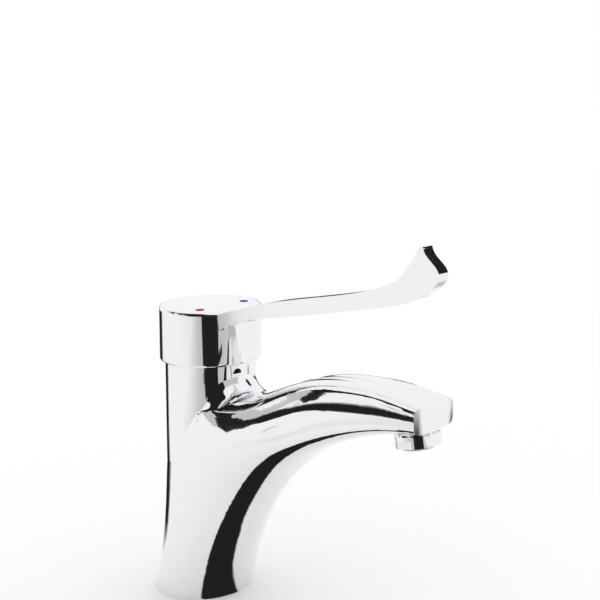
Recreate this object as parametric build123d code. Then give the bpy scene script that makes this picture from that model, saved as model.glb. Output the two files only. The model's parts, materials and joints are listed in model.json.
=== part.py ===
from build123d import *
import math
import os

# A deck-mounted mixer tap with a long elbow lever, in millimetres.
# The origin is the middle of the foot, on the basin's surface.
# The spout points along +X, the basin's user stands on +X, and +Z is up.
# Hot is on the user's left, which is -Y.

# Body and spout
CAP_R = 26.0
CAP_OVERHANG = 2.7
NECK_R = CAP_R - CAP_OVERHANG
CAP_X = 8.0
BODY_TOP = 117.0
TIP_X = 150.0
TIP_RUN = 3.0
FRONT_BOW_R = 75.0
TIP_ROUND = 1.1
NECK_START = 70.0
# The line down the back of the column and along the top of the spout
BACK_LINE = [(-25.4, 0), (-17.5, 34), (-15.9, 62), (-12.0, 86), (8.0, 103.5), (42.0, 108.0), (68.0, 117.2),
             (95.0, 124.4), (125.0, 125.4), (153.0, 121.3)]
# The line up the front of the column and under the spout
UNDER_LINE = [(25.4, 0), (36.5, 31), (58.6, 65), (94.0, 92), (126.0, 104.2), (153.0, 109.3)]
HALF_WIDTHS = [25.4, 25.0, 24.9, 25.0, 25.0, 22.6, 18.8, 16.6, 15.2, 14.6]
SQUARENESS_SHARES = [2.0, 2.0, 2.05, 2.1, 2.2, 2.3, 2.9, 3.6, 4.3, 5.0]
BACK_START_SHARES = (0.35, 1.0)
BACK_END_SHARES = (1.0, -0.14)
UNDER_START_SHARES = (0.25, 1.0)
UNDER_END_SHARES = (1.0, 0.14)
SKIN_FIT = 0.02

# The rounded crotch between the column and the spout, a ball rolled round the column
CROTCH_RADII = [5.0, 9.5, 12.5, 9.6, 8.5, 9.6, 12.5, 9.5, 5.0]
CROTCH_SPREAD = 74.0
CROTCH_BITE_SHARE = 0.006
CROTCH_ROOT = 1.5
CROTCH_DEPTH = 3.0
CROTCH_FIT = 0.01

# Hollows of the body
FOOT_BORE_R = 20.0
HOLLOW_TOP = 68.0
HOLLOW_MID = 35.0
HOLLOW_MID_X = 8.0
HOLLOW_MID_RX = 22.0
HOLLOW_MID_RY = 18.8
HOLLOW_TOP_X = 13.0
HOLLOW_TOP_RX = 22.0
HOLLOW_TOP_RY = 17.8
RING_WALL = 3.3
RING_BORE_R = NECK_R - RING_WALL
NUT_CLEARANCE = 0.2
NUT_THREAD_R = RING_BORE_R - NUT_CLEARANCE
NUT_SHOULDER = 2.3
CHAMBER_R = NUT_THREAD_R - NUT_SHOULDER
CHAMBER_Z = 90.0
NUT_SEAT = 112.0
INLET_SPACING = 17.0
INLET_AHEAD = 3.2
INLET_R = 3.2
INLET_SOCKET_R = 4.6
INLET_SOCKET_DEPTH = 12.0
STUD_X = 0.0
STUD_R = 4.0
STUD_DEPTH = 20.0
STUD_BOSS_R = 7.5
STUD_BOSS_BOTTOM = 0.0
SEAL_R_OUT = 24.2
SEAL_R_IN = 21.2
SEAL_H = 2.0
WATER_R = 4.0
WATER_BEHIND = 4.2
WATER_PORT_Z = 84.0
WATER_BEND_X = 88.0
WATER_BEND_Z = 105.0

# Aerator
OUTLET_X = 141.0
OUTLET_Z = 106.3
OUTLET_TILT = 9.0
AERATOR_THREAD_R = 8.8
AERATOR_BORE_DEPTH = 9.0
AERATOR_THREAD_L = 6.5
AERATOR_COLLAR_R = 10.7
AERATOR_COLLAR_L = 5.4
AERATOR_WALL = 1.3
AERATOR_FLAT = 10.0
AERATOR_FLAT_L = 3.6
AERATOR_LIP_R = 7.3
AERATOR_LIP_L = 1.3
STRAIGHTENER_L = 4.5
STRAIGHTENER_HOLE_R = 0.9
STRAIGHTENER_PITCH = 2.3
STRAIGHTENER_ROWS = 2
REGULATOR_L = 3.0
REGULATOR_HOLE_R = 1.6
REGULATOR_HOLES = 6
REGULATOR_RING_R = 4.2
AERATOR_WASHER_L = 1.6

# Collar ring and clamping nut
RING_H = 5.4
RING_SEAT = 2.4
RING_LIP = 1.7
RING_SEAT_R = NECK_R - RING_LIP
RING_NOTCH_R = 2.5
RING_NOTCH_TURN = -9.0
NUT_FLANGE_R = RING_SEAT_R - NUT_CLEARANCE
NUT_FLANGE_L = 2.0
NUT_HEX_WALL = 0.7
NUT_HEX_L = 4.0
NUT_SIDES = 6

# Cartridge
CARTRIDGE_CLEARANCE = 0.1
CARTRIDGE_R = CHAMBER_R - CARTRIDGE_CLEARANCE
UPPER_STEP = 2.0
UPPER_R = CARTRIDGE_R - UPPER_STEP
NUT_BORE_R = UPPER_R + CARTRIDGE_CLEARANCE
BASE_L = 5.0
PORT_SEAL_R_OUT = 4.4
PORT_SEAL_R_IN = 3.2
PORT_SEAL_H = 1.4
PORT_SLOT_W = 4.6
HOUSING_WALL = 2.2
DISC_ROOM_R = CARTRIDGE_R - HOUSING_WALL
FIXED_DISC_R = DISC_ROOM_R - CARTRIDGE_CLEARANCE
FIXED_DISC_L = 3.5
DISC_HOLE_R = 2.3
DISC_HOLE_Y = 5.0
OUT_HOLE_R = 3.0
MOVING_DISC_R = 10.4
MOVING_DISC_L = 3.5
MIX_SLOT_X = -4.0
MIX_SLOT_W = 8.0
MIX_SLOT_L = 16.2
MIX_SLOT_DEPTH = 2.0
CARRIER_R = 10.6
CARRIER_L = 4.0
SPINDLE_GAP = 0.4
SPINDLE_WALL = 3.65
SPINDLE_R = UPPER_R - SPINDLE_WALL
SPINDLE_FIT = 0.05
SPINDLE_L = 17.2
SPINDLE_SHOULDER = 2.55
SPINDLE_NECK_R = SPINDLE_R - SPINDLE_SHOULDER
SPINDLE_NECK_L = 3.4
STEM_SLOT_WALL = 1.0
STEM_SLOT_L = 2 * (SPINDLE_NECK_R - STEM_SLOT_WALL)
STEM_SLOT_W = 7.2
TOP_WALL = 2.1
TOP_GAP = 0.3
NECK_CLEARANCE = 0.4
TOP_HOLE_R = SPINDLE_NECK_R + NECK_CLEARANCE
LIMIT_LEDGE = 2.4
LIMIT_R_OUT = UPPER_R - LIMIT_LEDGE
LIMIT_STEP = 0.3
LIMIT_R_IN = TOP_HOLE_R + LIMIT_STEP
LIMIT_H = 1.8
LIMIT_LUG_W = 4.0

# Stem
PIVOT_Z = 117.0
STEM_X = 7.0
STEM_Y = 6.4
STEM_UP = 26.0
STEM_DOWN = 8.0
BALL_R = 1.9
BALL_DOWN = 12.4
BALL_NECK_R = 1.4
BALL_SOCKET_R = 2.3
BALL_SOCKET_DEPTH = 3.6
PIN_R = 1.5
PIN_FIT = 0.05
PIN_INSET = 0.55
PIN_L = 2 * (SPINDLE_R - PIN_INSET)

# Lever
CAP_H = 27.8
CAP_GAP = 4.6
CAP_SKIRT = 1.9
CAP_ROOF = 3.0
CAP_TOP_ROUND = 1.8
CAP_FOOT_ROUND = 1.5
BOSS_R = 7.6
BOSS_UP = 16.0
SOCKET_FIT = 0.05
ARM_THICK = 7.0
ARM_FLARE_HALF = 18.6
ARM_FLARE_X = 26.0
ARM_FLARE_END_X = 72.0
ARM_FLARE_BOW = 2.2
ARM_TOP = [(18.0, 147.0), (39.0, 153.8), (66.0, 159.6), (91.0, 164.3), (109.0, 168.6), (121.6, 173.1)]
PADDLE_TOP = [(121.6, 173.1), (127.2, 177.3), (132.2, 183.5), (136.5, 190.3)]
PADDLE_TIP = [(136.5, 190.3), (137.7, 190.9), (138.7, 190.1)]
PADDLE_END = [(138.7, 190.1), (142.5, 184.9), (145.8, 181.8), (147.2, 178.9), (146.5, 176.0), (142.6, 172.0),
              (137.1, 168.1)]
ARM_BOTTOM = [(137.1, 168.1), (126.1, 163.7), (109.0, 159.9), (91.0, 156.3), (65.8, 151.4), (46.0, 148.2),
              (33.0, 145.9), (22.5, 140.5)]
ARM_ROOT = [(12.0, 136.5), (12.0, 146.0)]
ARM_ROUND = 1.0
ARM_HIGH = 60.0
DOT_RING_R = 17.7
DOT_SPREAD = 59.5
DOT_R = 2.2
DOT_PROUD = 0.15
DOT_DEPTH = 1.2
GRUB_Z = 138.0
GRUB_R = 2.5
GRUB_L = 5.0
GRUB_KEY_R = 1.3
GRUB_KEY_DEPTH = 2.0
PLUG_R = 3.2
PLUG_INSET = 0.1
PLUG_L = 2.2

OVERRUN = 1.0
SKIN_ROWS = 40
SKIN_COLUMNS = 17
STATIONS = 400
CROTCH_ROWS = 37
CROTCH_COLUMNS = 12
OUTLINE_STEPS = 120
HALVINGS = 36

CAP_BOTTOM = BODY_TOP + CAP_GAP
CAP_TOP = CAP_BOTTOM + CAP_H
INLET_X = CAP_X + INLET_AHEAD
FIXED_Z = CHAMBER_Z + BASE_L
MOVING_Z = FIXED_Z + FIXED_DISC_L
CARRIER_Z = MOVING_Z + MOVING_DISC_L
ROOM_TOP = CARRIER_Z + CARRIER_L
SPINDLE_Z = ROOM_TOP + SPINDLE_GAP
NECK_Z = SPINDLE_Z + SPINDLE_L
HOUSING_TOP = NECK_Z + TOP_GAP + TOP_WALL
RING_TOP = BODY_TOP + RING_H
FLANGE_Z = BODY_TOP + RING_SEAT


def rod(radius, low, high, x=0.0, y=0.0):
    return Pos(x, y, low) * extrude(Circle(radius), high - low)


def tube(outer, inner, low, high, x=0.0, y=0.0):
    return rod(outer, low, high, x, y) - rod(inner, low - OVERRUN, high + OVERRUN, x, y)


def line_in_side_view(points, start=None, end=None):
    places = [(x, 0, z) for x, z in points]
    if start is None:
        return Spline(*places)
    return Spline(*places, tangents=[(start[0], 0, start[1]), (end[0], 0, end[1])])


def read_along(values, share):
    # A smooth reading between evenly spaced values.
    place = share * (len(values) - 1)
    first = min(int(place), len(values) - 2)
    part = place - first
    before = values[max(first - 1, 0)]
    here = values[first]
    there = values[first + 1]
    after = values[min(first + 2, len(values) - 1)]
    rise = (there - before) / 2
    fall = (after - here) / 2
    gap = there - here
    return here + part * (rise + part * ((3 * gap - 2 * rise - fall) + part * (rise + fall - 2 * gap)))


def stations(count):
    # Sections of the cast skin from the foot to the spout's end: middle, reach, half-width and power.
    back = line_in_side_view(BACK_LINE, BACK_START_SHARES, BACK_END_SHARES)
    under = line_in_side_view(UNDER_LINE, UNDER_START_SHARES, UNDER_END_SHARES)
    found = []
    for step in range(count + 1):
        share = step / count
        top = back @ share
        low = under @ share
        middle = ((top.X + low.X) / 2, (top.Z + low.Z) / 2)
        reach = ((top.X - low.X) / 2, (top.Z - low.Z) / 2)
        fullness = (read_along(HALF_WIDTHS, share), 2 / read_along(SQUARENESS_SHARES, share))
        found.append(middle + reach + fullness)
    return found


def skin_point(station, turn):
    # A point of one section, turned from its top round its +Y side.
    middle_x, middle_z, reach_x, reach_z, width, power = station
    along = math.copysign(abs(math.cos(turn)) ** power, math.cos(turn))
    across = width * abs(math.sin(turn)) ** power
    return middle_x + reach_x * along, across, middle_z + reach_z * along


def body_skin(side):
    # One half of the cast skin, swept from the foot to the spout's end.
    rows = []
    for station in stations(SKIN_ROWS):
        places = []
        for column in range(SKIN_COLUMNS + 1):
            x, y, z = skin_point(station, math.pi * column / SKIN_COLUMNS)
            if column in (0, SKIN_COLUMNS):
                y = 0.0
            places.append(Vector(x, side * y, z))
        rows.append(places)
    return Face.make_surface_from_array_of_points(rows, tol=SKIN_FIT, min_deg=3, max_deg=5)


def skin_in_half_plane(places, azimuth):
    # Where a half-plane through the cap's axis cuts the skin: distances from the axis, and heights.
    outline = []
    for step in range(1, OUTLINE_STEPS):
        turn = math.pi * (step / OUTLINE_STEPS) ** 3
        low = 0.0
        high = 1.0
        for _ in range(HALVINGS):
            middle = (low + high) / 2
            x, y, z = skin_point(station_at(places, middle), turn)
            if y * math.cos(azimuth) > (x - CAP_X) * math.sin(azimuth):
                low = middle
            else:
                high = middle
        outline.append(((x - CAP_X) * math.cos(azimuth) + y * math.sin(azimuth), z))
    return outline


def station_at(places, share):
    place = min(share * STATIONS, STATIONS - 1)
    first = int(place)
    return [low + (high - low) * (place - first) for low, high in zip(places[first], places[first + 1])]


def nearest(outline, point):
    # The outline's distance from a point, and its nearest place.
    best = (math.inf, point)
    for start, end in zip(outline, outline[1:]):
        run = (end[0] - start[0], end[1] - start[1])
        length = math.hypot(*run)
        if length > 0:
            share = ((point[0] - start[0]) * run[0] + (point[1] - start[1]) * run[1]) / length ** 2
            share = max(0, min(1, share))
            place = (start[0] + share * run[0], start[1] + share * run[1])
            best = min(best, (math.dist(point, place), place))
    return best


def resting_ball(outline, radius):
    # The middle of a ball that rests on the spout's skin and against the column, and its place on the skin.
    from_axis = NECK_R + radius
    low = CHAMBER_Z / 2
    high = BODY_TOP + 2 * radius
    step = (high - low) / OUTLINE_STEPS
    while nearest(outline, (from_axis, high - step))[0] > radius:
        high = high - step
    low = high - step
    for _ in range(HALVINGS):
        middle = (low + high) / 2
        if nearest(outline, (from_axis, middle))[0] > radius:
            high = middle
        else:
            low = middle
    return from_axis, high, nearest(outline, (from_axis, high))[1]


def crotch_fillet():
    # The concave metal in the corner, its arc face sunk a hair into the column and the spout.
    places = stations(STATIONS)
    rows = []
    roots = []
    for row in range(CROTCH_ROWS + 1):
        share = row / CROTCH_ROWS
        azimuth = math.radians(CROTCH_SPREAD * (2 * share - 1))
        ahead = Vector(math.cos(azimuth), math.sin(azimuth), 0)
        up = Vector(0, 0, 1)
        radius = read_along(CROTCH_RADII, share)
        outline = skin_in_half_plane(places, abs(azimuth))
        from_axis, height, place = resting_ball(outline, radius)
        opening = math.atan2(height - place[1], from_axis - place[0])
        half = opening / 2
        sink = CROTCH_BITE_SHARE * radius / math.cos(half)
        axis_point = Vector(CAP_X, 0, height - sink * math.sin(half))
        middle = axis_point + ahead * (from_axis - sink * math.cos(half))
        arc = []
        for column in range(CROTCH_COLUMNS + 1):
            turn = opening * column / CROTCH_COLUMNS
            arc.append(middle - ahead * radius * math.cos(turn) - up * radius * math.sin(turn))
        rows.append(arc)
        roots.append(Vector(CAP_X, 0, place[1] - CROTCH_DEPTH) + ahead * (NECK_R - CROTCH_ROOT))
    skin = Face.make_surface_from_array_of_points(rows, tol=CROTCH_FIT, min_deg=3, max_deg=5)
    upper = edge_between(skin, rows[0][0], rows[-1][0])
    lower = edge_between(skin, rows[0][-1], rows[-1][-1])
    faces = [skin, ruled_face(upper, roots), ruled_face(lower, roots)]
    for arc, root in ((rows[0], roots[0]), (rows[-1], roots[-1])):
        rim = edge_between(skin, arc[0], arc[-1])
        faces.append(Face(Wire([rim, Edge.make_line(rim @ 1, root), Edge.make_line(root, rim @ 0)])))
    return Solid(Shell(faces))


def edge_between(face, start, end):
    def miss(edge):
        ahead = ((edge @ 0) - start).length + ((edge @ 1) - end).length
        astern = ((edge @ 1) - start).length + ((edge @ 0) - end).length
        return min(ahead, astern)

    return min(face.edges(), key=miss)


def ruled_face(edge, points):
    # The untwisted one of the two ruled faces between an edge and a line of points.
    ways = [Edge.make_spline(points), Edge.make_spline(points[::-1])]
    return min([Face.make_surface_from_curves(edge, way) for way in ways], key=lambda face: face.area)


def cast_shape():
    halves = [body_skin(1), body_skin(-1)]
    rims = [edge for half in halves for edge in half.edges()]
    foot = Face(Wire([edge for edge in rims if edge.bounding_box().max.Z < OVERRUN]))
    end = Face(Wire([edge for edge in rims if edge.bounding_box().min.X > TIP_X + OVERRUN]))
    shape = Solid(Shell(halves + [foot, end]))
    shape = shape + rod(NECK_R, NECK_START, BODY_TOP, CAP_X)
    return shape + crotch_fillet()


def outlet_frame():
    # The outlet's axis leans forward on its way down; its own Z points into the spout.
    return Pos(OUTLET_X, 0, OUTLET_Z) * Rot(0, -OUTLET_TILT, 0)


def front_bow():
    # What the bowed front face leaves of the spout.
    centre = TIP_X + TIP_RUN / 2 - FRONT_BOW_R
    behind = Pos(centre - FRONT_BOW_R, 0, 0) * Box(2 * FRONT_BOW_R, 4 * FRONT_BOW_R, 4 * BODY_TOP)
    return behind + rod(FRONT_BOW_R, -2 * BODY_TOP, 2 * BODY_TOP, centre)


def hollow():
    low = Pos(0, 0, 0) * Circle(FOOT_BORE_R)
    mid = Pos(HOLLOW_MID_X, 0, HOLLOW_MID) * Ellipse(HOLLOW_MID_RX, HOLLOW_MID_RY)
    top = Pos(HOLLOW_TOP_X, 0, HOLLOW_TOP) * Ellipse(HOLLOW_TOP_RX, HOLLOW_TOP_RY)
    room = loft([low, mid, top])
    boss = rod(STUD_BOSS_R, STUD_BOSS_BOTTOM, HOLLOW_TOP + OVERRUN, STUD_X)
    return room - boss


def water_way():
    start = Vector(CAP_X - WATER_BEHIND, 0, WATER_PORT_Z)
    bend = Vector(WATER_BEND_X, 0, WATER_BEND_Z)
    into = outlet_frame() * Pos(0, 0, AERATOR_BORE_DEPTH)
    end = into.position
    parts = rod(WATER_R, WATER_PORT_Z, CHAMBER_Z + OVERRUN, start.X)
    for first, last in ((start, bend), (bend, end)):
        path = Line(first, last)
        parts = parts + sweep(Plane(origin=first, z_dir=last - first) * Circle(WATER_R), path)
        parts = parts + Pos(*first) * Sphere(WATER_R)
    return parts + Pos(*end) * Sphere(WATER_R)


def body_casting():
    body = cast_shape()
    body = body & front_bow()
    body = body - hollow()
    body = body - rod(CHAMBER_R, CHAMBER_Z, BODY_TOP + OVERRUN, CAP_X)
    body = body - rod(NUT_THREAD_R, NUT_SEAT, BODY_TOP + OVERRUN, CAP_X)
    for side in (-1, 1):
        y = side * INLET_SPACING / 2
        body = body - rod(INLET_R, HOLLOW_TOP, CHAMBER_Z + OVERRUN, INLET_X, y)
        body = body - rod(INLET_SOCKET_R, HOLLOW_TOP - OVERRUN, HOLLOW_TOP + INLET_SOCKET_DEPTH, INLET_X, y)
    body = body - rod(STUD_R, STUD_BOSS_BOTTOM - OVERRUN, STUD_BOSS_BOTTOM + STUD_DEPTH, STUD_X)
    body = body - tube(SEAL_R_OUT, SEAL_R_IN, -OVERRUN, SEAL_H)
    body = body - water_way()
    bore = outlet_frame() * rod(AERATOR_THREAD_R, -2 * OVERRUN - AERATOR_COLLAR_L, AERATOR_BORE_DEPTH)
    return body - bore


def base_seal():
    return tube(SEAL_R_OUT, SEAL_R_IN, 0, SEAL_H)


def collar_ring():
    ring = tube(NECK_R, RING_BORE_R, BODY_TOP, RING_TOP, CAP_X)
    ring = ring - rod(RING_SEAT_R, FLANGE_Z, RING_TOP + OVERRUN, CAP_X)
    notch = Pos(NECK_R, 0, 0) * Rot(0, 90, 0) * Cylinder(RING_NOTCH_R, NECK_R)
    notch = Pos(CAP_X, 0, BODY_TOP) * Rot(0, 0, RING_NOTCH_TURN) * notch
    return ring - notch


def cartridge_nut():
    nut = rod(NUT_THREAD_R, NUT_SEAT, FLANGE_Z, CAP_X)
    nut = nut + rod(NUT_FLANGE_R, FLANGE_Z, FLANGE_Z + NUT_FLANGE_L, CAP_X)
    top = FLANGE_Z + NUT_FLANGE_L
    hexagon = RegularPolygon(NUT_BORE_R + NUT_HEX_WALL, NUT_SIDES, major_radius=False)
    nut = nut + Pos(CAP_X, 0, top) * extrude(hexagon, NUT_HEX_L)
    return nut - rod(NUT_BORE_R, NUT_SEAT - OVERRUN, top + NUT_HEX_L + OVERRUN, CAP_X)


def cartridge_base():
    base = rod(CARTRIDGE_R, CHAMBER_Z, FIXED_Z, CAP_X)
    for side in (-1, 1):
        inner = side * DISC_HOLE_Y
        outer = side * INLET_SPACING / 2
        slot = SlotCenterToCenter(abs(outer - inner), PORT_SLOT_W, rotation=90)
        port = Pos(INLET_X, (inner + outer) / 2, CHAMBER_Z - OVERRUN) * extrude(slot, BASE_L + 2 * OVERRUN)
        base = base - port
        base = base - rod(PORT_SEAL_R_OUT, CHAMBER_Z - OVERRUN, CHAMBER_Z + PORT_SEAL_H, INLET_X, outer)
    out_x = CAP_X - WATER_BEHIND
    base = base - rod(OUT_HOLE_R, CHAMBER_Z - OVERRUN, FIXED_Z + OVERRUN, out_x)
    return base - rod(PORT_SEAL_R_OUT, CHAMBER_Z - OVERRUN, CHAMBER_Z + PORT_SEAL_H, out_x)


def cartridge_base_seals():
    high = CHAMBER_Z + PORT_SEAL_H
    places = [(CAP_X - WATER_BEHIND, 0), (INLET_X, -INLET_SPACING / 2), (INLET_X, INLET_SPACING / 2)]
    seals = [tube(PORT_SEAL_R_OUT, PORT_SEAL_R_IN, CHAMBER_Z, high, x, y) for x, y in places]
    return Compound(children=seals)


def fixed_ceramic_disc():
    disc = rod(FIXED_DISC_R, FIXED_Z, MOVING_Z, CAP_X)
    for side in (-1, 1):
        disc = disc - rod(DISC_HOLE_R, FIXED_Z - OVERRUN, MOVING_Z + OVERRUN, INLET_X, side * DISC_HOLE_Y)
    return disc - rod(OUT_HOLE_R, FIXED_Z - OVERRUN, MOVING_Z + OVERRUN, CAP_X - WATER_BEHIND)


def moving_ceramic_disc():
    disc = rod(MOVING_DISC_R, MOVING_Z, CARRIER_Z, CAP_X)
    slot = extrude(SlotOverall(MIX_SLOT_L, MIX_SLOT_W, rotation=90), MIX_SLOT_DEPTH + OVERRUN)
    return disc - Pos(CAP_X + MIX_SLOT_X, 0, MOVING_Z - OVERRUN) * slot


def disc_carrier():
    carrier = rod(CARRIER_R, CARRIER_Z, ROOM_TOP, CAP_X)
    return carrier - rod(BALL_SOCKET_R, ROOM_TOP - BALL_SOCKET_DEPTH, ROOM_TOP + OVERRUN, CAP_X)


def cartridge_housing():
    shell = rod(CARTRIDGE_R, FIXED_Z, NUT_SEAT, CAP_X)
    shell = shell + rod(UPPER_R, NUT_SEAT - OVERRUN, HOUSING_TOP, CAP_X)
    shell = shell - rod(DISC_ROOM_R, FIXED_Z - OVERRUN, ROOM_TOP, CAP_X)
    shell = shell - rod(SPINDLE_R + SPINDLE_FIT, ROOM_TOP - OVERRUN, NECK_Z + TOP_GAP, CAP_X)
    return shell - rod(TOP_HOLE_R, NECK_Z, HOUSING_TOP + OVERRUN, CAP_X)


def cartridge_spindle():
    spindle = rod(SPINDLE_R, SPINDLE_Z, NECK_Z, CAP_X)
    spindle = spindle + rod(SPINDLE_NECK_R, NECK_Z - OVERRUN, NECK_Z + SPINDLE_NECK_L, CAP_X)
    slot = Pos(CAP_X, 0, NECK_Z) * Box(STEM_SLOT_L, STEM_SLOT_W, 4 * SPINDLE_L)
    return spindle - slot - across_pin(PIN_R, 2 * SPINDLE_R)


def across_pin(radius, length):
    return Pos(CAP_X, 0, PIVOT_Z) * Rot(90, 0, 0) * Cylinder(radius, length)


def stem_pin():
    return across_pin(PIN_R, PIN_L)


def hot_limit_ring():
    ring = tube(LIMIT_R_OUT, LIMIT_R_IN, HOUSING_TOP, HOUSING_TOP + LIMIT_H, CAP_X)
    lug = Pos(CAP_X - LIMIT_R_OUT, 0, HOUSING_TOP + LIMIT_H / 2) * Box(LIMIT_LUG_W, LIMIT_LUG_W, LIMIT_H)
    return ring + lug


def lever_stem():
    height = STEM_UP + STEM_DOWN
    stem = Pos(CAP_X, 0, PIVOT_Z - STEM_DOWN + height / 2) * Box(STEM_X, STEM_Y, height)
    stem = stem + rod(BALL_NECK_R, PIVOT_Z - BALL_DOWN, PIVOT_Z - STEM_DOWN + OVERRUN, CAP_X)
    stem = stem + Pos(CAP_X, 0, PIVOT_Z - BALL_DOWN) * Sphere(BALL_R)
    return stem - across_pin(PIN_R + PIN_FIT, 2 * STEM_Y)


def arm_side_outline():
    def place(points):
        return [(CAP_X + x, z) for x, z in points]

    top = Spline(*place(ARM_TOP))
    lift = (PADDLE_TOP[-1][0] - PADDLE_TOP[-2][0], PADDLE_TOP[-1][1] - PADDLE_TOP[-2][1])
    rise = Spline(*place(PADDLE_TOP), tangents=[top % 1, lift])
    tip = ThreePointArc(*place(PADDLE_TIP))
    end = Spline(*place(PADDLE_END))
    under = Spline(*place(ARM_BOTTOM))
    root = place(ARM_ROOT)
    close = [Line(under @ 1, root[0]), Line(root[0], root[1]), Line(root[1], top @ 0)]
    return make_face([top, rise, tip, end, under] + close)


def arm_plan_outline():
    far_x = CAP_X + max(x for x, z in PADDLE_END) + OVERRUN
    half = ARM_THICK / 2
    start = (CAP_X + math.sqrt(ARM_FLARE_X ** 2 - ARM_FLARE_HALF ** 2), ARM_FLARE_HALF)
    end = (CAP_X + ARM_FLARE_END_X, half)
    lean = (start[1], -(start[0] - CAP_X))
    flare = Spline(start, end, tangents=[lean, (1, 0)])
    lines = [flare, Line(end, (far_x, half)), Line((far_x, half), (far_x, -half))]
    lines += [Line((far_x, -half), (end[0], -half)), mirror(flare, Plane.XZ)]
    lines += [Line((start[0], -start[1]), (CAP_X, -start[1])), Line((CAP_X, -start[1]), (CAP_X, start[1]))]
    lines += [Line((CAP_X, start[1]), start)]
    return make_face(lines)


def lever_arm():
    side = Pos(0, ARM_HIGH / 2, 0) * Rot(90, 0, 0) * extrude(arm_side_outline(), ARM_HIGH)
    plan = Pos(0, 0, CAP_BOTTOM) * extrude(arm_plan_outline(), 2 * ARM_HIGH)
    return side & plan


def lever_handle():
    cap = rod(CAP_R, CAP_BOTTOM, CAP_TOP, CAP_X)
    low, high = cap.edges().filter_by(GeomType.CIRCLE).sort_by(Axis.Z)
    cap = fillet([high], CAP_TOP_ROUND)
    low = cap.edges().filter_by(GeomType.CIRCLE).sort_by(Axis.Z)[0]
    cap = fillet([low], CAP_FOOT_ROUND)
    cap = cap + lever_arm()
    inner = rod(CAP_R - CAP_SKIRT, CAP_BOTTOM - OVERRUN, CAP_TOP - CAP_ROOF, CAP_X)
    boss = rod(BOSS_R, PIVOT_Z + BOSS_UP, CAP_TOP - CAP_ROOF, CAP_X)
    cap = cap - (inner - boss)
    socket_h = STEM_UP - BOSS_UP + SOCKET_FIT
    socket = Box(STEM_X + 2 * SOCKET_FIT, STEM_Y + 2 * SOCKET_FIT, 2 * socket_h)
    cap = cap - Pos(CAP_X, 0, PIVOT_Z + BOSS_UP) * socket
    cap = cap - grub_path(GRUB_R, BOSS_R + OVERRUN)
    cap = cap - (grub_path(PLUG_R, CAP_R + OVERRUN) - grub_path(2 * PLUG_R, CAP_R - 2 * CAP_SKIRT))
    for side in (-1, 1):
        cap = cap - dot(side, CAP_TOP + OVERRUN)
    return cap


def grub_path(radius, reach):
    return Pos(CAP_X - reach / 2, 0, GRUB_Z) * Rot(0, 90, 0) * Cylinder(radius, reach)


def lever_grub_screw():
    middle = CAP_X - STEM_X / 2 - SOCKET_FIT - GRUB_L / 2
    screw = Pos(middle, 0, GRUB_Z) * Rot(0, 90, 0) * Cylinder(GRUB_R, GRUB_L)
    key = Pos(middle - GRUB_L / 2, 0, GRUB_Z) * Rot(0, 90, 0) * Cylinder(GRUB_KEY_R, 2 * GRUB_KEY_DEPTH)
    return screw - key


def screw_cover_plug():
    plug = grub_path(PLUG_R, CAP_R + OVERRUN) & rod(CAP_R - PLUG_INSET, CAP_BOTTOM, CAP_TOP, CAP_X)
    return plug - rod(CAP_R - PLUG_L, CAP_BOTTOM, CAP_TOP, CAP_X)


def dot(side, high):
    turn = math.radians(DOT_SPREAD)
    x = CAP_X + DOT_RING_R * math.cos(turn)
    return rod(DOT_R, CAP_TOP - DOT_DEPTH, high, x, side * DOT_RING_R * math.sin(turn))


def aerator_housing():
    housing = rod(AERATOR_THREAD_R, 0, AERATOR_THREAD_L) + rod(AERATOR_COLLAR_R, -AERATOR_COLLAR_L, 0)
    flat = Box(4 * AERATOR_COLLAR_R, 4 * AERATOR_COLLAR_R, AERATOR_FLAT_L)
    low = -AERATOR_COLLAR_L + AERATOR_FLAT_L / 2
    for side in (-1, 1):
        housing = housing - Pos(0, side * (AERATOR_FLAT + 2 * AERATOR_COLLAR_R), low) * flat
    bore = AERATOR_THREAD_R - AERATOR_WALL
    return outlet_frame() * (housing - rod(bore, -AERATOR_COLLAR_L - OVERRUN, AERATOR_THREAD_L + OVERRUN))


def flow_straightener():
    inner = AERATOR_THREAD_R - AERATOR_WALL
    low = -AERATOR_COLLAR_L
    core = rod(inner, low, low + STRAIGHTENER_L) + rod(AERATOR_LIP_R, low - AERATOR_LIP_L, low)
    holes = []
    for row in range(-STRAIGHTENER_ROWS, STRAIGHTENER_ROWS + 1):
        for column in range(-STRAIGHTENER_ROWS, STRAIGHTENER_ROWS + 1):
            x = STRAIGHTENER_PITCH * (column + (row % 2) / 2)
            y = STRAIGHTENER_PITCH * row * math.sqrt(3) / 2
            if math.hypot(x, y) < AERATOR_LIP_R - STRAIGHTENER_PITCH / 2:
                holes.append(rod(STRAIGHTENER_HOLE_R, low - 2 * AERATOR_LIP_L, low + STRAIGHTENER_L + OVERRUN, x, y))
    return outlet_frame() * (core - holes)


def flow_regulator():
    low = -AERATOR_COLLAR_L + STRAIGHTENER_L
    inner = AERATOR_THREAD_R - AERATOR_WALL
    disc = rod(inner, low, low + REGULATOR_L)
    holes = []
    for step in range(REGULATOR_HOLES):
        turn = 2 * math.pi * step / REGULATOR_HOLES
        x = REGULATOR_RING_R * math.cos(turn)
        y = REGULATOR_RING_R * math.sin(turn)
        holes.append(rod(REGULATOR_HOLE_R, low - OVERRUN, low + REGULATOR_L + OVERRUN, x, y))
    return outlet_frame() * (disc - holes)


def aerator_washer():
    inner = AERATOR_THREAD_R - 2 * AERATOR_WALL
    low = AERATOR_THREAD_L
    return outlet_frame() * tube(AERATOR_THREAD_R, inner, low, low + AERATOR_WASHER_L)


def index_mark(side):
    return dot(side, CAP_TOP + DOT_PROUD)


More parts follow.
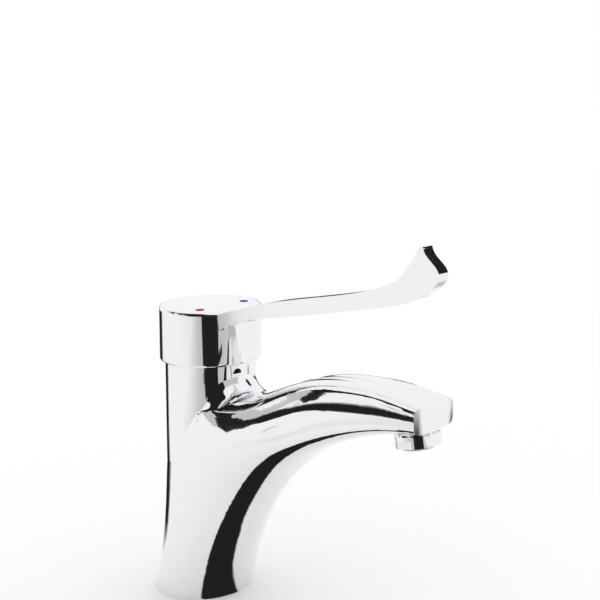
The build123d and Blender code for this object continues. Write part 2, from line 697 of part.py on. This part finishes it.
def main():
    os.makedirs("parts", exist_ok=True)
    parts = {
        "body_casting": body_casting(),
        "base_seal": base_seal(),
        "collar_ring": collar_ring(),
        "cartridge_nut": cartridge_nut(),
        "cartridge_housing": cartridge_housing(),
        "cartridge_base": cartridge_base(),
        "cartridge_base_seals": cartridge_base_seals(),
        "fixed_ceramic_disc": fixed_ceramic_disc(),
        "moving_ceramic_disc": moving_ceramic_disc(),
        "disc_carrier": disc_carrier(),
        "cartridge_spindle": cartridge_spindle(),
        "stem_pin": stem_pin(),
        "hot_limit_ring": hot_limit_ring(),
        "lever_stem": lever_stem(),
        "lever_handle": lever_handle(),
        "lever_grub_screw": lever_grub_screw(),
        "screw_cover_plug": screw_cover_plug(),
        "red_index_mark": index_mark(-1),
        "blue_index_mark": index_mark(1),
        "aerator_housing": aerator_housing(),
        "aerator_washer": aerator_washer(),
        "flow_regulator": flow_regulator(),
        "flow_straightener": flow_straightener(),
    }
    for name, part in parts.items():
        export_step(part, f"parts/{name}.step")


main()
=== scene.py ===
import json
import math

import bpy
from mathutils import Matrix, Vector

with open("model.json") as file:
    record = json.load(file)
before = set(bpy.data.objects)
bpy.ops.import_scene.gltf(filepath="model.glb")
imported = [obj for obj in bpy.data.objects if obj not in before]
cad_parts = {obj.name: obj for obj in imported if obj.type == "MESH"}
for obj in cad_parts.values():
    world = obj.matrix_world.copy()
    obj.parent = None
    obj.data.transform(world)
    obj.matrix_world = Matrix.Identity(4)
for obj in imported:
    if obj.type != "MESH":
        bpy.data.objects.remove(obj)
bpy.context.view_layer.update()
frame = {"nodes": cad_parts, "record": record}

bl_info = {
    "name": "Elbow lever tap",
    "version": (1, 0, 0),
    "blender": (4, 5, 0),
    "location": "3D View > Sidebar > Tap",
    "description": "Finishes and stage for a chrome basin mixer with a long elbow lever",
    "category": "Object",
}

MM = 0.001
IMAGE_SIDE_PX = 600

# Where the photograph was taken from, worked out from the tap's own proportions
CAMERA_AT = (0.4413, -0.4011, 0.2593)
CAMERA_AZIMUTH = math.radians(37.7)
CAMERA_PITCH = 0.0968
FOCAL_PX = 1148.8
AXIS_RIGHT_PX = 100.0
AXIS_UP_PX = 100.0
SENSOR_MM = 36.0

# Painted reflections: the flags, cards and strip below are black and grey sheets that only the chrome's
# reflections see, hidden from the camera, diffuse light and shadows, so they paint dark and grey bands into it
# The studio. Its flags and cards were placed so that the chrome mirrors the dark bands that it has in
# the photograph. Each flag has its tone, its distance in metres from the middle of the tap, the shares of its
# width over which its lower and upper edges fade, and its spans: azimuth, lower edge and upper edge in degrees
MIDDLE = (0.05, 0.0, 0.1)
FLAGS = {
    "flag behind the camera": ("black", 2.0, (0.02, 0.1), [
        (-70, -8, 52), (-60, -8, 52), (-28, -8, 40), (-22, -8, 36)]),
    "flag high on the left": ("black", 2.1, (0.04, 0.1), [
        (-168, 35, 42), (-155, 32, 46), (-146, 27, 52), (-135, 31, 60), (-122, 30, 70), (-112, 25, 72),
        (-100, 15, 74), (-90, 8, 74), (-80, 3, 74), (-60, 0, 62), (-38, 0, 40)]),
    "hook of that flag": ("black", 2.15, (0.05, 0.1), [
        (-152, 29, 36), (-146, 25, 34), (-139, 16, 27), (-133, 8, 18), (-129.5, 3, 9)]),
    "scrim over the spout": ("grey", 2.4, (0.1, 0.2), [
        (-172, 27, 37), (-155, 22, 34), (-145, 16, 28), (-137, 10, 20)]),
    "scrim left of the camera": ("grey", 2.5, (0.05, 0.3), [(-120, -8, 20), (-68, -8, 20)]),
    "scrim right of the camera": ("grey", 2.5, (0.05, 0.3), [(-24, -8, 40), (25, -8, 40)]),
    "flag at the lever's end": ("black", 2.3, (0.1, 0.1), [
        (52, 9, 24), (60, 19, 32), (70, 27, 38), (80, 32, 40), (87, 33, 39)]),
    "flag low behind the tap": ("black", 2.45, (0.0, 0.7), [
        (90, -3, 5), (112, -3, 6), (145, -3, 6), (165, -3, 5)]),
}
FLAG_BEND_DEG = 3
# Cards on the floor, seen only in the chrome, where they paint dark and grey bands as painted reflections:
# tone, height above the floor, the shares that fade at the left and right edge, how much each end covers, and
# the pairs of edge points, in metres
CARDS = {
    "card before the foot": ("black", 0.0006, (0.08, 0.08), (1.0, 1.0), [
        ((0.018, -0.020), (0.024, 0.001)), ((0.030, -0.035), (0.040, 0.000)),
        ((0.042, -0.053), (0.055, -0.003)), ((0.052, -0.063), (0.062, -0.014)),
        ((0.062, -0.075), (0.068, -0.035)), ((0.225, -0.39), (0.48, -0.22)), ((0.75, -1.80), (1.90, -0.80))]),
    "card behind the column": ("black", 0.0006, (0.1, 0.35), (0.0, 1.0), [
        ((-0.050, 0.015), (-0.050, -0.025)), ((-0.11, 0.045), (-0.11, -0.035)),
        ((-0.30, 0.13), (-0.30, -0.05)), ((-1.85, 0.80), (-1.95, -0.14))]),
    "card left of the black": ("grey", 0.0003, (0.9, 0.0), (0.0, 1.0), [
        ((-0.10, -0.16), (0.10, -0.14)), ((-0.22, -0.30), (0.25, -0.36)), ((-1.2, -1.6), (0.90, -1.68))]),
    "card right of the black": ("grey", 0.0003, (0.0, 0.9), (0.0, 1.0), [
        ((0.14, -0.06), (0.17, 0.05)), ((0.47, -0.22), (0.55, 0.10)), ((1.85, -0.80), (1.9, 0.60))]),
    "card right of the face": ("black", 0.0008, (0.1, 0.5), (0.4, 0.4), [
        ((0.36, 0.11), (0.37, 0.205)), ((0.42, 0.12), (0.44, 0.235)), ((0.50, 0.13), (0.53, 0.27))]),
    "card left of the face": ("black", 0.0008, (0.5, 0.1), (0.4, 0.4), [
        ((0.275, 0.30), (0.20, 0.31)), ((0.285, 0.36), (0.20, 0.38)), ((0.30, 0.44), (0.20, 0.46))]),
    "card behind the lever's end": ("grey", 0.0008, (0.3, 0.3), (0.3, 0.3), [
        ((0.24, 0.20), (0.22, 0.27)), ((0.13, 0.22), (0.13, 0.28)), ((0.03, 0.20), (0.02, 0.26))]),
    "card low behind the tap": ("black", 0.0004, (0.5, 0.0), (0.0, 0.0), [
        ((0.02, 0.69), (-0.29, 2.43)), ((-0.04, 0.67), (-0.375, 2.413)), ((-0.30, 0.61), (-1.175, 2.122)),
        ((-0.49, 0.45), (-1.827, 1.575)), ((-0.59, 0.27), (-2.205, 0.957))]),
}
# A narrow black strip 45 mm beside the tap, seen only in the chrome, which paints the band along the spout's
# shoulder as a painted reflection: (x, bottom, top)
STRIP_Y = -0.045
STRIP_FADES = (0.06, 0.45)
STRIP_ENDS = (0.3, 1.0)
STRIP = [
    (0.035, 0.105, 0.115), (0.042, 0.105, 0.1155), (0.050, 0.1055, 0.116), (0.075, 0.1065, 0.1165),
    (0.090, 0.1063, 0.116), (0.105, 0.1055, 0.115), (0.118, 0.105, 0.114), (0.130, 0.1047, 0.1135)]
# Corners across a card: its two edges and the two lines where its fades end
ACROSS = 4
CLIP_START = 0.01
# Turning marks are about 0.2 mm apart, and are drawn at 0.6 mm so that they show
TURNED_RING_MM = 0.6
# Metres that one band of the wave texture takes at scale 1
WAVE_BAND = 0.3


def linear(hex_colour):
    """The linear RGBA of an sRGB hex colour."""
    channels = [int(hex_colour[i:i + 2], 16) / 255 for i in (1, 3, 5)]
    return [c / 12.92 if c <= 0.04045 else ((c + 0.055) / 1.055) ** 2.4 for c in channels] + [1.0]


def add_node(tree, kind, settings=None, values=None, links=None):
    """One shader node with its settings, socket values and incoming links."""
    node = tree.nodes.new(kind)
    for key, value in (settings or {}).items():
        setattr(node, key, value)
    for key, value in (values or {}).items():
        node.inputs[key].default_value = value
    for key, source in (links or {}).items():
        tree.links.new(source, node.inputs[key])
    return node


def new_material(name):
    """An empty node material."""
    material = bpy.data.materials.new(name)
    material.use_nodes = True
    material.node_tree.nodes.clear()
    return material


def finish_material(material, values, links=None):
    """The material with its surface shader put on."""
    tree = material.node_tree
    shader = add_node(tree, "ShaderNodeBsdfPrincipled", values=values, links=links)
    output = add_node(tree, "ShaderNodeOutputMaterial")
    tree.links.new(shader.outputs["BSDF"], output.inputs["Surface"])
    return material


def polished_chrome():
    """Bright nickel-chrome plate on polished brass: a clean mirror with a faint cool tint."""
    tap = bpy.context.scene.tap_finishes
    return finish_material(new_material("polished chrome plate"), {
        "Base Color": linear(tap.chrome_colour),
        "Metallic": 1.0,
        "Roughness": tap.chrome_roughness,
    })


def machined_metal(name, colour, roughness):
    """Turned metal: fine rings left by the tool spread the highlight a little."""
    material = new_material(name)
    tree = material.node_tree
    place = add_node(tree, "ShaderNodeTexCoord")
    rings = add_node(tree, "ShaderNodeTexWave", {"wave_type": "BANDS", "bands_direction": "Z"},
                     {"Scale": WAVE_BAND / (TURNED_RING_MM * MM), "Distortion": 0.2},
                     {"Vector": place.outputs["Object"]})
    bump = add_node(tree, "ShaderNodeBump", values={"Strength": 0.2, "Distance": 0.02 * MM},
                    links={"Height": rings.outputs["Fac"]})
    return finish_material(material, {"Base Color": linear(colour), "Metallic": 1.0, "Roughness": roughness},
                           {"Normal": bump.outputs["Normal"]})


def moulded_plastic(name, colour, roughness, grain_mm, depth_mm):
    """Injection-moulded plastic: an even colour with the mould's fine grain."""
    material = new_material(name)
    tree = material.node_tree
    place = add_node(tree, "ShaderNodeTexCoord")
    grain = add_node(tree, "ShaderNodeTexNoise", values={"Scale": 1 / (grain_mm * MM), "Detail": 3.0},
                     links={"Vector": place.outputs["Object"]})
    bump = add_node(tree, "ShaderNodeBump", values={"Strength": 0.15, "Distance": depth_mm * MM},
                    links={"Height": grain.outputs["Fac"]})
    return finish_material(material, {"Base Color": linear(colour), "Roughness": roughness, "IOR": 1.5},
                           {"Normal": bump.outputs["Normal"]})


def filled_enamel(name, colour):
    """Enamel filled into a drilled spot: a flat, full colour with only a weak sheen."""
    return finish_material(new_material(name), {"Base Color": linear(colour), "Roughness": 0.6,
                                                "Specular IOR Level": 0.05})


def finishes():
    """One material for each of the record's slots."""
    tap = bpy.context.scene.tap_finishes
    chrome = polished_chrome()
    return {
        "chrome_plated_brass": chrome,
        "chrome_plated_zinc": chrome,
        # The plain brass colour is darkened as painted shade, for the shade in the narrow notch through which
        # the nut shows
        "plain_brass": machined_metal("turned brass darkened as painted shade", "#8f7a45", 0.45),
        "stem_brass": machined_metal("milled brass", "#cfae62", 0.33),
        "stainless_steel": machined_metal("turned stainless steel", "#b9babd", 0.3),
        "black_rubber": moulded_plastic("moulded EPDM rubber", "#1c1c1d", 0.75, 0.4, 0.02),
        "white_cartridge_plastic": moulded_plastic("moulded acetal white", "#e3e2dc", 0.45, 0.5, 0.01),
        "grey_cartridge_plastic": moulded_plastic("moulded nylon grey", "#6d7074", 0.5, 0.5, 0.01),
        "grey_insert_plastic": moulded_plastic("moulded acetal light grey", "#a9acb0", 0.4, 0.5, 0.01),
        "grey_plug_plastic": moulded_plastic("moulded ABS grey gloss", "#8d9095", 0.25, 0.8, 0.004),
        "white_ceramic": moulded_plastic("lapped alumina ceramic", "#ece9e2", 0.18, 0.3, 0.002),
        "red_plastic": filled_enamel("baked enamel red", tap.hot_colour),
        "blue_plastic": filled_enamel("baked enamel blue", tap.cold_colour),
    }


def slot_of(node_name):
    """The record's material slot of a CAD node."""
    for subpart in frame["record"]["subparts"]:
        if subpart["node"] == node_name:
            return subpart["material_slot"]
    raise RuntimeError(f"no material slot for {node_name}")


class TapFinishes(bpy.types.PropertyGroup):
    """Colours and gloss of the tap's finishes"""

    chrome_colour: bpy.props.StringProperty(
        name="Chrome tint", description="sRGB hex colour that the plate reflects", default="#eff0f2")
    chrome_roughness: bpy.props.FloatProperty(
        name="Chrome roughness", description="How much the plate blurs what it mirrors", default=0.045,
        min=0.0, max=1.0, subtype="FACTOR")
    hot_colour: bpy.props.StringProperty(
        name="Hot mark", description="sRGB hex colour of the hot index mark", default="#c4120e")
    cold_colour: bpy.props.StringProperty(
        name="Cold mark", description="sRGB hex colour of the cold index mark", default="#1c4fa0")


class TapStage(bpy.types.PropertyGroup):
    """Sizes and levels of the studio"""

    floor_size: bpy.props.FloatProperty(
        name="Floor size", description="Side of the square floor", default=6.0, unit="LENGTH")
    floor_colour: bpy.props.StringProperty(
        name="Floor colour", description="sRGB hex colour of the floor", default="#ffffff")
    room_level: bpy.props.FloatProperty(
        name="Room level", description="Strength of the white room round the tap", default=1.0)
    # The flags and scrims glow in these tones, seen only in the chrome, as painted dark and grey reflections
    flag_colour: bpy.props.StringProperty(
        name="Flag colour", description="sRGB hex colour of the black flags that the chrome mirrors",
        default="#22221f")
    scrim_colour: bpy.props.StringProperty(
        name="Scrim colour", description="sRGB hex colour of the grey scrims beside the flags",
        default="#cacaca")


class TAP_OT_finishes(bpy.types.Operator):
    """Give every piece of the tap its material"""

    bl_idname = "tap.finishes"
    bl_label = "Finish the tap's pieces"

    def execute(self, context):
        materials = finishes()
        for name, node in frame["nodes"].items():
            material = materials[slot_of(name)]
            if node.material_slots:
                for material_slot in node.material_slots:
                    material_slot.material = material
            else:
                node.data.materials.append(material)
        return {"FINISHED"}


def stage_mesh(name, corners, faces, material):
    """A piece of the studio, which isn't part of the tap."""
    mesh = bpy.data.meshes.new(name)
    mesh.from_pydata(corners, [], faces)
    mesh.materials.append(material)
    piece = bpy.data.objects.new(name, mesh)
    bpy.context.scene.collection.objects.link(piece)
    return piece


def white_card(colour):
    """Matt white card: an even white that keeps the tap's soft shadow."""
    material = new_material("matt white card")
    tree = material.node_tree
    card = add_node(tree, "ShaderNodeBsdfDiffuse", values={"Color": linear(colour)})
    add_node(tree, "ShaderNodeOutputMaterial", links={"Surface": card.outputs["BSDF"]})
    return material


def soft_edged(name, colour):
    """A painted reflection, seen only as a mirror image: a sheet that glows in an even tone and fades out at
    its edges.
    """
    material = new_material(name)
    tree = material.node_tree
    cover = add_node(tree, "ShaderNodeAttribute", {"attribute_name": "cover"})
    clear = add_node(tree, "ShaderNodeBsdfTransparent")
    painted_reflection_sheet = add_node(tree, "ShaderNodeEmission", values={"Color": linear(colour)})
    eased = add_node(tree, "ShaderNodeMapRange", {"interpolation_type": "SMOOTHSTEP"},
                     links={"Value": cover.outputs["Fac"]})
    mixed = add_node(tree, "ShaderNodeMixShader", links={0: eased.outputs["Result"], 1: clear.outputs["BSDF"],
                                                         2: painted_reflection_sheet.outputs["Emission"]})
    add_node(tree, "ShaderNodeOutputMaterial", links={"Surface": mixed.outputs["Shader"]})
    return material


def soft_card(name, stations, material, ends=(1.0, 1.0)):
    """A strip through pairs of edge points, with fades.

    Each station is (first edge point, second edge point, fade share at the first, fade share at the second).
    """
    corners, cover, faces = [], [], []
    for row, (first, second, fade_first, fade_second) in enumerate(stations):
        along = {0: ends[0], len(stations) - 1: ends[1]}.get(row, 1.0)
        shares = (0.0, fade_first, 1.0 - fade_second, 1.0)
        covers = (float(not fade_first), 1.0, 1.0, float(not fade_second))
        for share, full in zip(shares, covers):
            corners.append(Vector(first).lerp(Vector(second), share))
            cover.append(full * along)
    for row in range(len(stations) - 1):
        for column in range(ACROSS - 1):
            a = row * ACROSS + column
            faces.append((a, a + 1, a + ACROSS + 1, a + ACROSS))
    card = stage_mesh(name, corners, faces, material)
    layer = card.data.attributes.new("cover", "FLOAT", "POINT")
    layer.data.foreach_set("value", cover)
    # Hidden from the camera, diffuse light and shadows, so that the card is only a painted reflection in the
    # chrome
    for ray in ("camera", "diffuse", "shadow"):
        setattr(card, f"visible_{ray}", False)
    return card


def toward(azimuth, elevation, distance):
    """A point of the studio in that direction from the middle of the tap, with angles in degrees."""
    level = math.cos(math.radians(elevation)) * distance
    return Vector((level * math.cos(math.radians(azimuth)), level * math.sin(math.radians(azimuth)),
                   math.sin(math.radians(elevation)) * distance)) + Vector(MIDDLE)


def dome_card(name, spans, material, distance, fades):
    """A soft card bent round the tap. Each span is (azimuth, lower elevation, upper elevation) in degrees."""
    stations = []
    for (a0, low0, high0), (a1, low1, high1) in zip(spans, spans[1:]):
        steps = max(1, round(abs(a1 - a0) / FLAG_BEND_DEG))
        for k in range(steps):
            t = k / steps
            stations.append((a0 + (a1 - a0) * t, low0 + (low1 - low0) * t, high0 + (high1 - high0) * t))
    stations.append(spans[-1])
    edges = [(toward(a, low, distance), toward(a, high, distance)) + fades for a, low, high in stations]
    return soft_card(name, edges, material)


def floor_card(name, pairs, material, height, fades, ends):
    """A soft card lying on the floor, through pairs of edge points."""
    edges = [((*left, height), (*right, height)) + fades for left, right in pairs]
    return soft_card(name, edges, material, ends)


class TAP_OT_stage(bpy.types.Operator):
    """Set up the white studio: floor, room, and the black and grey sheets, seen only in the chrome, that paint
    its dark and grey reflections
    """

    bl_idname = "tap.stage"
    bl_label = "Set up the studio"

    def execute(self, context):
        stage = context.scene.tap_stage
        half = stage.floor_size / 2
        corners = [(-half, -half, 0), (half, -half, 0), (half, half, 0), (-half, half, 0)]
        stage_mesh("floor", corners, [(0, 1, 2, 3)], white_card(stage.floor_colour))
        make_room(context.scene, stage)
        # Black and grey sheets that only the chrome sees: painted reflections
        painted_reflection_sheets = {"black": soft_edged("black sheet for painted reflections", stage.flag_colour),
                  "grey": soft_edged("grey sheet for painted reflections", stage.scrim_colour)}
        for name, (tone, distance, fades, spans) in FLAGS.items():
            dome_card(name, spans, painted_reflection_sheets[tone], distance, fades)
        for name, (tone, height, fades, ends, pairs) in CARDS.items():
            floor_card(name, pairs, painted_reflection_sheets[tone], height, fades, ends)
        edges = [((x, STRIP_Y, low), (x, STRIP_Y, high)) + STRIP_FADES for x, low, high in STRIP]
        soft_card("strip beside the spout", edges, painted_reflection_sheets["black"], STRIP_ENDS)
        return {"FINISHED"}


def make_room(scene, stage):
    """A plain white room."""
    world = bpy.data.worlds.new("white studio")
    world.use_nodes = True
    scene.world = world
    tree = world.node_tree
    tree.nodes.clear()
    shade = add_node(tree, "ShaderNodeBackground",
                     values={"Color": linear("#ffffff"), "Strength": stage.room_level})
    add_node(tree, "ShaderNodeOutputWorld", links={"Surface": shade.outputs["Background"]})


class TAP_OT_camera(bpy.types.Operator):
    """Stand the camera where the photograph was taken"""

    bl_idname = "tap.camera"
    bl_label = "Place the camera"

    def execute(self, context):
        data = bpy.data.cameras.new("camera")
        data.sensor_width = SENSOR_MM
        data.sensor_fit = "HORIZONTAL"
        data.lens = FOCAL_PX / IMAGE_SIDE_PX * SENSOR_MM
        data.shift_x = -AXIS_RIGHT_PX / IMAGE_SIDE_PX
        data.shift_y = -AXIS_UP_PX / IMAGE_SIDE_PX
        data.clip_start = CLIP_START
        camera = bpy.data.objects.new("camera", data)
        context.scene.collection.objects.link(camera)
        camera.location = CAMERA_AT
        along = math.cos(CAMERA_PITCH)
        forward = Vector((-math.sin(CAMERA_AZIMUTH) * along, math.cos(CAMERA_AZIMUTH) * along,
                          -math.sin(CAMERA_PITCH)))
        camera.rotation_mode = "QUATERNION"
        camera.rotation_quaternion = forward.to_track_quat("-Z", "Y")
        context.scene.camera = camera
        context.scene.view_settings.view_transform = "Standard"
        return {"FINISHED"}


class TAP_PT_sidebar(bpy.types.Panel):
    """Lists the tap's finishes and studio"""

    bl_idname = "TAP_PT_sidebar"
    bl_label = "Elbow lever tap"
    bl_space_type = "VIEW_3D"
    bl_region_type = "UI"
    bl_category = "Tap"

    def draw(self, context):
        for group in (context.scene.tap_finishes, context.scene.tap_stage):
            for name in group.__annotations__:
                self.layout.prop(group, name)
        for operator in OPERATORS:
            self.layout.operator(operator.bl_idname)


OPERATORS = (TAP_OT_finishes, TAP_OT_stage, TAP_OT_camera)
CLASSES = (TapFinishes, TapStage) + OPERATORS + (TAP_PT_sidebar,)


def register():
    for cls in CLASSES:
        bpy.utils.register_class(cls)
    bpy.types.Scene.tap_finishes = bpy.props.PointerProperty(type=TapFinishes)
    bpy.types.Scene.tap_stage = bpy.props.PointerProperty(type=TapStage)


def unregister():
    del bpy.types.Scene.tap_stage
    del bpy.types.Scene.tap_finishes
    for cls in reversed(CLASSES):
        bpy.utils.unregister_class(cls)


def main():
    register()
    bpy.ops.tap.finishes()
    bpy.ops.tap.stage()
    bpy.ops.tap.camera()


if __name__ == "__main__":
    main()
